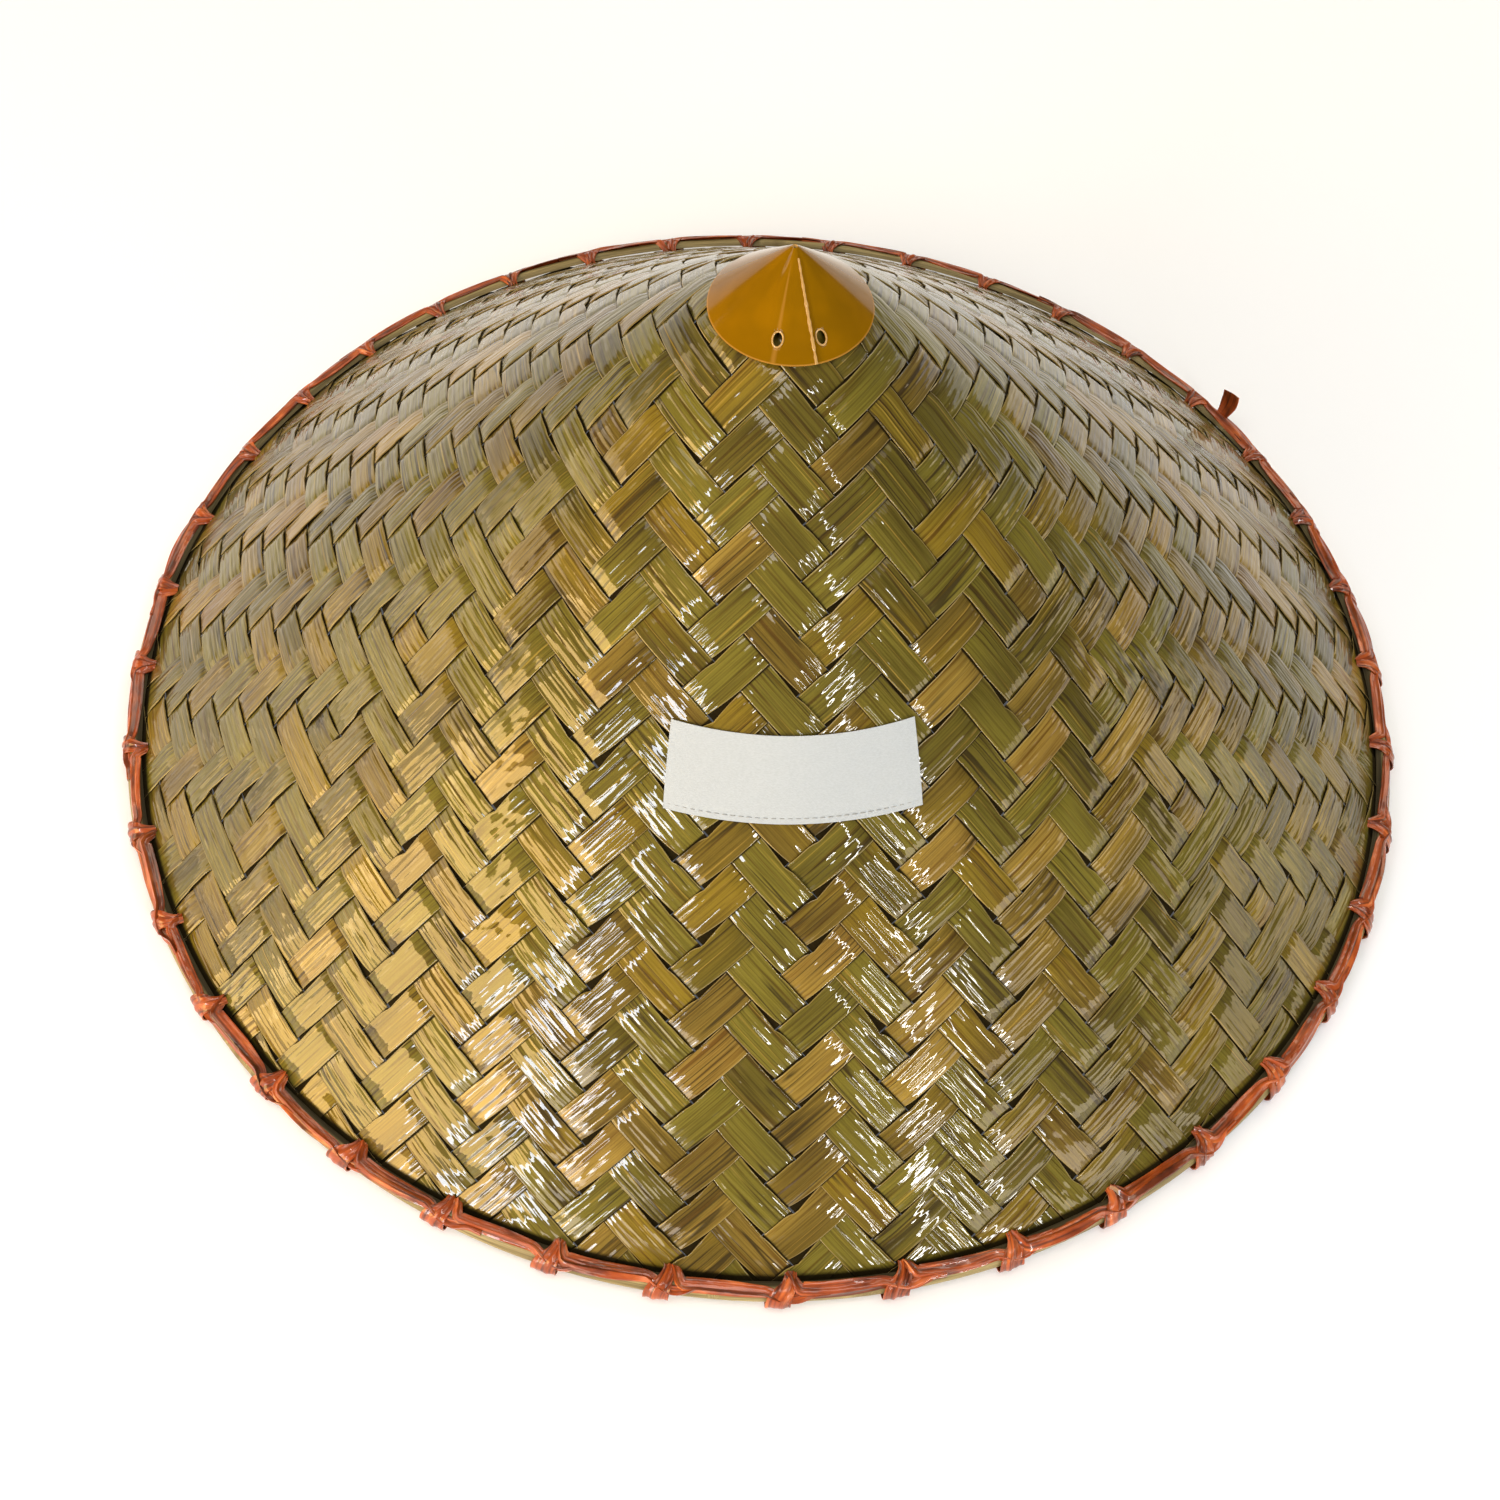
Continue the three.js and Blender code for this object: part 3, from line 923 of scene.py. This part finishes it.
def seam_burr(pile, settings):
    """The burr that the knife raised along the sheet's outer end, from the tip to the lower edge."""
    share = np.linspace(0.10, 1.0, 60)
    around = circle(8)[:, None]
    turn = math.radians(settings.cap_seam_turn)
    side = np.array([math.cos(turn), math.sin(turn), 0.0])
    uneven = 1 + 0.30 * np.sin(share * 61) * np.sin(share * 23)
    bead = 0.42 * MM * (0.55 + 0.45 * smoothstep(share * 1.6)) * uneven
    lift = settings.cap_thickness * 2 + 0.20 * MM
    rows = []
    for at, size in zip(share, bead):
        middle, out = cap_point(settings, settings.cap_slant * at, turn, lift)
        rows.append(middle + (side * np.cos(around) * size + out * np.sin(around) * size * 0.7))
    pile.tube(np.stack(rows))


# The label


def lay_label(settings):
    """A ribbon of cloth, cut to a band of the cone. Returns it with its flat area."""
    columns, rows = 72, 26
    slant = np.linspace(settings.label_top, settings.label_bottom, rows)
    top_reach = settings.label_top_width / (settings.label_top * CLOSING)
    low_reach = settings.label_low_width / (settings.label_bottom * CLOSING)
    down = (slant - settings.label_top) / (settings.label_bottom - settings.label_top)
    reach = top_reach + (low_reach - top_reach) * down
    turn = math.radians(settings.label_turn) + np.linspace(-0.5, 0.5, columns) * reach[:, None]
    s = slant[:, None] * np.ones(columns)
    # The cloth waves a little off the weave, and the row of stitches draws it in
    wave = 0.10 * MM * (np.sin(s / (5.1 * MM) + turn * 9) + np.sin(turn * s * CLOSING / (6.3 * MM)))
    seam = -0.16 * MM * np.exp(-(((s - settings.label_bottom + settings.seam_inset) / (0.5 * MM)) ** 2))
    lift = 0.28 * MM + wave + seam
    points = np.concatenate([on_cone(s, turn, lift + settings.label_thickness), on_cone(s, turn, lift)])
    top = turned_over(grid_faces(rows, columns, ring=False))
    grid = np.arange(rows * columns).reshape(rows, columns)
    rim = np.concatenate([grid[0], grid[1:, -1], grid[-1, -2::-1], grid[-2:0:-1, 0]])
    ahead = np.roll(rim, -1)
    skirt = joined(rim, ahead, ahead + grid.size, rim + grid.size)
    faces = np.concatenate([top, top[:, ::-1] + grid.size, skirt])
    wide = (turn - math.radians(settings.label_turn)) * s * CLOSING
    strip = joined(wide, s - settings.label_top)
    pile = Pile()
    pile.add(points, faces.tolist(), along=np.concatenate([strip, strip]))
    bands = (reach[1:] + reach[:-1]) / 2 * np.diff(slant) * (slant[1:] + slant[:-1]) / 2
    return pile, float(np.sum(bands) * CLOSING)


def sew_label(settings):
    """The row of stitches just above the label's lower edge."""
    pile = Pile()
    spacing, half_stitch, half_thread = 2.2 * MM, 0.75 * MM, 0.13 * MM
    slant = settings.label_bottom - settings.seam_inset
    reach = settings.label_low_width / (slant * CLOSING)
    count = int(settings.label_low_width / spacing)
    angle = circle(6)
    share = np.linspace(-1, 1, 7)
    rise = settings.label_thickness + 0.16 * MM + 0.12 * MM * (1 - share**4)
    body = half_thread * np.sqrt(np.maximum(1 - share**4, 0.15))
    down = slant + body[:, None] * np.cos(angle)
    lift = rise[:, None] + body[:, None] * np.sin(angle)
    for i in range(count):
        middle = math.radians(settings.label_turn) + ((i + 0.5) / count - 0.5) * reach * 0.985
        turn = middle + share * half_stitch / (slant * CLOSING)
        pile.tube(on_cone(down, turn[:, None], lift))
    return pile


# The stage


FLOOR_RADIUS = 1.45
LAMP_MIDDLE = 0.1  # the lamps aim at this height over the floor
LIGHTS = [
    # name, turn from the front and elevation in degrees, distance, width and height in metres, watts, colour
    ("window_right", 29, 24, 1.7, 0.07, 1.20, 8.6, "#fffefb"),
    ("window_left", -30, 22, 1.7, 0.15, 1.00, 10.0, "#e6f0ff"),
    ("warm_left", -52, 14, 1.7, 1.20, 0.60, 22.5, "#ffd68e"),
    ("warm_low", -22, 6, 1.7, 0.60, 0.40, 4.5, "#fff2de"),
    ("fill_right", 46, 5, 1.7, 0.90, 0.40, 4.5, "#fff0d8"),
    ("side_left", -88, 12, 1.7, 1.20, 0.60, 6.5, "#ffe2b4"),
    ("side_right", 86, 4, 1.7, 1.20, 0.30, 3.0, "#ffe8c2"),
    ("back_right", 150, 45, 1.7, 1.50, 0.70, 11.5, "#fff5e0"),
    ("back_left", -150, 45, 1.7, 1.50, 0.70, 4.5, "#fff5e0"),
    ("front_top", 4, 77, 1.7, 0.90, 0.60, 9.4, "#fff8f0"),
    ("right_top", 80, 66, 1.7, 0.90, 0.60, 2.4, "#fff0d6"),
    ("left_top", -80, 62, 1.7, 0.90, 0.60, 4.2, "#fff6e4"),
]


def set_camera(scene, settings):
    lens = bpy.data.cameras.new("camera")
    lens.lens = settings.lens
    lens.sensor_width = 36
    lens.clip_start = 0.01
    camera = new_object("camera", lens)
    camera.location = (0, -settings.camera_back, settings.camera_up)
    angles = (settings.camera_tip, settings.camera_roll, settings.camera_turn)
    camera.rotation_euler = [math.radians(a) for a in angles]
    scene.camera = camera


def lay_floor(settings):
    """A round board, wide enough to fill the picture."""
    turns = circle(96)
    rim = joined(np.cos(turns), np.sin(turns), 0.0) * FLOOR_RADIUS
    mesh = bpy.data.meshes.new("floor")
    mesh.from_pydata(rim.tolist(), [], [tuple(range(len(turns)))])
    mesh.materials.append(make(matt_painted_board, settings))
    floor = new_object("floor", mesh)


def hang_lights():
    for name, turn, elevation, distance, width, height, watts, colour in LIGHTS:
        light = bpy.data.lights.new(name, "AREA")
        light.shape = "RECTANGLE"
        light.size = width
        light.size_y = height
        light.energy = watts
        light.color = linear(colour)[:3]
        lamp = new_object(name, light)
        a, e = math.radians(turn), math.radians(elevation)
        lamp.location = (
            distance * math.cos(e) * math.sin(a),
            -distance * math.cos(e) * math.cos(a),
            LAMP_MIDDLE + distance * math.sin(e),
        )
        lamp.rotation_euler = (QUARTER - e, 0, a)


def light_surround(scene, settings):
    """A white surround that stops a little above the floor, higher on the left, and a faint fill above it."""
    world = bpy.data.worlds.new("surround")
    add = emptied(world)
    way = add("TexCoord", out="Generated")
    sideways, upward = add("SeparateXYZ", way, out="X"), add("SeparateXYZ", way, out="Z")
    height = add("Math", sideways, 0.07, upward, operation="MULTIPLY_ADD")
    strength = add("MapRange", height, 0.080, 0.100, settings.surround, settings.sky)
    # The surround behind the hat is plain white too
    seen = add("Math", strength, add("LightPath", out="Is Camera Ray"), operation="MAXIMUM")
    add("OutputWorld", add("Background", "#ffffff", seen))
    scene.world = world


# Settings that a user would change


def length(name, description, millimetres):
    kind = {"subtype": "DISTANCE", "unit": "LENGTH"}
    return FloatProperty(name=name, description=description, default=millimetres * MM, **kind)


def amount(name, description, default):
    return FloatProperty(name=name, description=description, default=default)


def paint(name, description, hex_colour):
    default = linear(hex_colour)[:3]
    return FloatVectorProperty(name=name, description=description, default=default, size=3, subtype="COLOR")


class WeaveSettings(bpy.types.PropertyGroup):
    """Sizes and colours of the woven splints."""

    splint_pitch: length("Splint pitch", "Distance between neighbouring splints", 10.7)
    splint_thickness: length("Splint thickness", "Thickness of one splint", 0.42)
    rise: length("Rise", "How far a splint climbs off the weave's middle", 0.46)
    lean: amount("Lean", "How far a splint leans with the one that it lies on", 0.4)
    tip: amount("Tip", "Usual slope of one float off the weave's face", 0.022)
    bend: length("Bend", "Distance over which a splint bends down", 3.4)
    early: length("Early", "How far before a crossing the splint is half way down", 0.7)
    sway: length("Sway", "How far the line between two splints wanders", 0.22)
    slit: length("Slit", "Usual half width of the slit between two splints", 0.15)
    wedge: length("Wedge", "Usual half width of a slit at its widest corner", 0.44)
    unevenness: length("Unevenness", "Size of the slow drift in the spacing", 0.55)
    weave_middle: length("Middle", "Height of the weave's middle off the wall's outside", -0.78)
    weave_turn: amount("Turn", "Turn of the flat mat under the front, in degrees", 0.8)
    steps_per_cell: IntProperty(name="Steps", description="Points along each crossing", default=8, min=2)
    skin_green: paint("Green", "Skin of the greenest splints", "#56501a")
    skin_olive: paint("Olive", "Skin of the olive splints", "#67601f")
    skin_dark_olive: paint("Dark olive", "Skin of the dark olive splints", "#4f4814")
    skin_khaki: paint("Khaki", "Skin of the khaki splints", "#776418")
    skin_dark_khaki: paint("Dark khaki", "Skin of the dark khaki splints", "#5d4d19")
    skin_straw: paint("Straw", "Skin of the palest splints", "#8e7632")
    skin_tan: paint("Tan", "Skin of the tan splints", "#7a6127")
    skin_brown: paint("Brown", "Skin of the brownest splints", "#6c5222")
    pith: paint("Pith", "Pith side and cut edges of the splints", "#b9a264")


class RimSettings(bpy.types.PropertyGroup):
    """Sizes of the strap laced round the rim, and colours of the strap and the rods."""

    strap_width: length("Strap width", "Width of the strap between knots", 4.7)
    strap_thickness: length("Strap thickness", "Thickness of the tape", 0.35)
    knot_width: length("Knot width", "Width of a knot at the rim's outside", 7.4)
    hole_setback: length("Hole setback", "Distance of the holes up the slope from the rods' middle", 5.4)
    hole_skew: length("Hole skew", "Distance of each hole to the right of its knot", 2.6)
    end_turn: amount("Loose end", "Place of the strap's loose end, in degrees from the front", 128.0)
    end_length: length("End length", "Length of the loose end", 10.0)
    rod_shade: paint("Rod shade", "Darker streaks of the rods", "#857448")
    rod_straw: paint("Rod straw", "Usual colour of the rods", "#a89664")
    rod_pale: paint("Rod pale", "Paler streaks of the rods", "#bba976")
    strap_dark: paint("Strap dark", "Darker patches of the strap", "#662809")
    strap_red: paint("Strap red", "Usual colour of the strap", "#9c4517")
    strap_bright: paint("Strap bright", "Brighter patches of the strap", "#cb6c35")


class CapSettings(bpy.types.PropertyGroup):
    """Sizes and colours of the cone on the tip."""

    cap_slant: length("Slant", "Distance from the tip to the cap's lower edge", 28.4)
    cap_thickness: length("Thickness", "Thickness of the sheet", 0.7)
    cap_seam_turn: amount("Seam", "Place of the sheet's outer end, in degrees", 19.8)
    cap_under_turn: amount("Hidden end", "Place of the sheet's inner end, in degrees", -10.7)
    left_hole_turn: amount("Left hole", "Place of the left hole, in degrees", -8.6)
    right_hole_turn: amount("Right hole", "Place of the right hole, in degrees", 28.6)
    hole_slant: length("Hole distance", "Distance of the holes from the tip", 22.3)
    hole_width: length("Hole width", "Width of a hole across the cap", 2.5)
    hole_length: length("Hole length", "Length of a hole down the cap", 3.7)
    sheet: paint("Sheet", "Usual colour of the sheet", "#825a00")
    sheet_worn: paint("Worn sheet", "Darker patches of the sheet", "#765200")
    burr: paint("Burr", "Edges cut by the knife and the punch", "#bd9762")
    burr_worn: paint("Worn burr", "Darker patches of the cut edges", "#a27f44")


class LabelSettings(bpy.types.PropertyGroup):
    """Sizes and colours of the blank label."""

    label_top: length("Top", "Distance of the label's upper edge from the tip", 123.8)
    label_bottom: length("Bottom", "Distance of the label's lower edge from the tip", 147.6)
    label_top_width: length("Top width", "Width along the upper edge", 66.0)
    label_low_width: length("Bottom width", "Width along the lower edge", 70.7)
    label_thickness: length("Thickness", "Thickness of the cloth", 0.4)
    label_turn: amount("Turn", "Place of the label's middle, in degrees from the front", 5.6)
    seam_inset: length("Seam inset", "Distance of the stitches from the lower edge", 1.5)
    cloth_shade: paint("Cloth shade", "Darker patches of the cloth", "#a5adb4")
    cloth_white: paint("Cloth white", "Usual colour of the cloth", "#afb7be")
    thread: paint("Thread", "Colour of the stitches", "#a6a9ab")


class StudioSettings(bpy.types.PropertyGroup):
    """Camera, surround and floor."""

    camera_back: length("Back", "Distance of the camera in front of the hat's middle", 334.2)
    camera_up: length("Up", "Height of the camera over the floor", 488.4)
    camera_tip: amount("Tip", "Angle of the view from straight down, in degrees", 31.887)
    camera_roll: amount("Roll", "Roll of the camera, in degrees", -1.919)
    camera_turn: amount("Turn", "Turn of the camera about the upright, in degrees", 3.640)
    lens: amount("Lens", "Focal length in millimetres on a 36 mm sensor", 40.8)
    sky: amount("Fill", "Strength of the even light from above", 0.05)
    surround: amount("Surround", "Strength of the white surround near the floor", 0.9)
    floor_white: paint("Floor", "Colour of the floor", "#f2f5fa")


# Operators


class HAT_OT_stage(bpy.types.Operator):
    """Set the camera, the floor and the lights"""

    bl_idname = "bamboo_hat.stage"
    bl_label = "Set stage"

    def execute(self, context):
        scene = context.scene
        set_camera(scene, scene.hat_studio)
        lay_floor(scene.hat_studio)
        hang_lights()
        light_surround(scene, scene.hat_studio)
        scene.view_settings.view_transform = "Standard"
        return {"FINISHED"}


class HAT_OT_weave(bpy.types.Operator):
    """Weave the cone from three rows of splints, one row for each corner of the mat"""

    bl_idname = "bamboo_hat.weave"
    bl_label = "Weave splints"

    def execute(self, context):
        settings = context.scene.hat_weave
        rng = np.random.default_rng(SEED)
        rows = splint_rows(settings, rng)
        seams = [Seams(settings, rng, row_edges(row, settings.splint_pitch)) for row in rows]
        finishes = [make(lacquered_splint_skin, settings), make(bare_splint_pith, settings)]
        for ray, name in enumerate(("splints_front_left", "splints_front_right", "splints_back")):
            pile = Pile()
            for number in range(len(rows[ray])):
                weave_splint(pile, settings, rng, rows, seams, ray, number)
            dress(pile.piece(name, finishes, sharp_degrees=50), "bamboo_splint", "woven_cone")
        return {"FINISHED"}


class HAT_OT_hoops(bpy.types.Operator):
    """Bend the two half-round rods that clamp the wall's edge"""

    bl_idname = "bamboo_hat.hoops"
    bl_label = "Bend hoops"

    def execute(self, context):
        settings = context.scene.hat_rim
        dress(bend_rod(settings, "upper_rod", True), "hoop_bamboo", "upper_hoop")
        dress(bend_rod(settings, "lower_rod", False), "hoop_bamboo", "lower_hoop")
        return {"FINISHED"}


class HAT_OT_lacing(bpy.types.Operator):
    """Lace the strap round the rim"""

    bl_idname = "bamboo_hat.lacing"
    bl_label = "Lace rim"

    def execute(self, context):
        settings = context.scene.hat_rim
        rng = np.random.default_rng(SEED + 1)
        pile = Pile()
        turns = (np.arange(KNOTS) + 0.5) * math.tau / KNOTS
        for turn, next_turn in zip(turns, np.append(turns[1:], turns[0] + math.tau)):
            lace_knot(pile, settings, rng, turn)
            lace_run(pile, settings, rng, turn, next_turn)
        strap_end(pile, settings, rng)
        strap = pile.piece("laced_strap", [make(drawn_polypropylene_strap, settings)], sharp_degrees=45)
        dress(strap, "red_strap", "rim_lacing")
        return {"FINISHED"}


class HAT_OT_cap(bpy.types.Operator):
    """Roll the tip cap and punch its holes"""

    bl_idname = "bamboo_hat.cap"
    bl_label = "Roll tip cap"

    def execute(self, context):
        settings = context.scene.hat_cap
        finishes = [make(glossy_vinyl_sheet, settings), make(knife_cut_vinyl_edge, settings)]
        cap = roll_cap(settings).piece("rolled_cap", finishes, sharp_degrees=35)
        punch(cap, settings)
        dress(cap, "ochre_plastic", "tip_cap")
        lips = Pile()
        hole_lips(lips, settings)
        seam_burr(lips, settings)
        dress(lips.piece("cap_lips", finishes[1:]), "ochre_plastic")
        return {"FINISHED"}


class HAT_OT_label(bpy.types.Operator):
    """Lay the blank label on the weave and sew it"""

    bl_idname = "bamboo_hat.label"
    bl_label = "Lay label"

    def execute(self, context):
        settings = context.scene.hat_label
        pile, area = lay_label(settings)
        cloth = pile.piece("blank_label", [make(woven_polyester_ribbon, settings)], sharp_degrees=50)
        dress(cloth, "label_cloth", "front_label")
        stitches = sew_label(settings).piece("label_stitches", [make(spun_polyester_thread, settings)])
        dress(stitches, "label_cloth")
        return {"FINISHED"}


class HAT_PT_panel(bpy.types.Panel):
    """Lists the steps that make the hat, and the settings"""

    bl_idname = "HAT_PT_panel"
    bl_label = "Bamboo hat"
    bl_space_type = "VIEW_3D"
    bl_region_type = "UI"
    bl_category = "Bamboo hat"

    def draw(self, context):
        for step in STEPS:
            self.layout.operator(step.bl_idname)
        for group in GROUPS:
            settings = getattr(context.scene, group)
            for name in settings.bl_rna.properties.keys():
                if name not in ("rna_type", "name"):
                    self.layout.prop(settings, name)


GROUPS = {
    "hat_weave": WeaveSettings,
    "hat_rim": RimSettings,
    "hat_cap": CapSettings,
    "hat_label": LabelSettings,
    "hat_studio": StudioSettings,
}
STEPS = (HAT_OT_stage, HAT_OT_weave, HAT_OT_hoops, HAT_OT_lacing, HAT_OT_cap, HAT_OT_label)


def register():
    for made in (*GROUPS.values(), *STEPS, HAT_PT_panel):
        bpy.utils.register_class(made)
    for name, group in GROUPS.items():
        setattr(bpy.types.Scene, name, PointerProperty(type=group))


def unregister():
    for name in GROUPS:
        delattr(bpy.types.Scene, name)
    for made in (HAT_PT_panel, *STEPS, *GROUPS.values()):
        bpy.utils.unregister_class(made)


def main():
    register()
    bpy.ops.bamboo_hat.stage()
    bpy.ops.bamboo_hat.weave()
    bpy.ops.bamboo_hat.hoops()
    bpy.ops.bamboo_hat.lacing()
    bpy.ops.bamboo_hat.cap()
    bpy.ops.bamboo_hat.label()


if __name__ == "__main__":
    main()
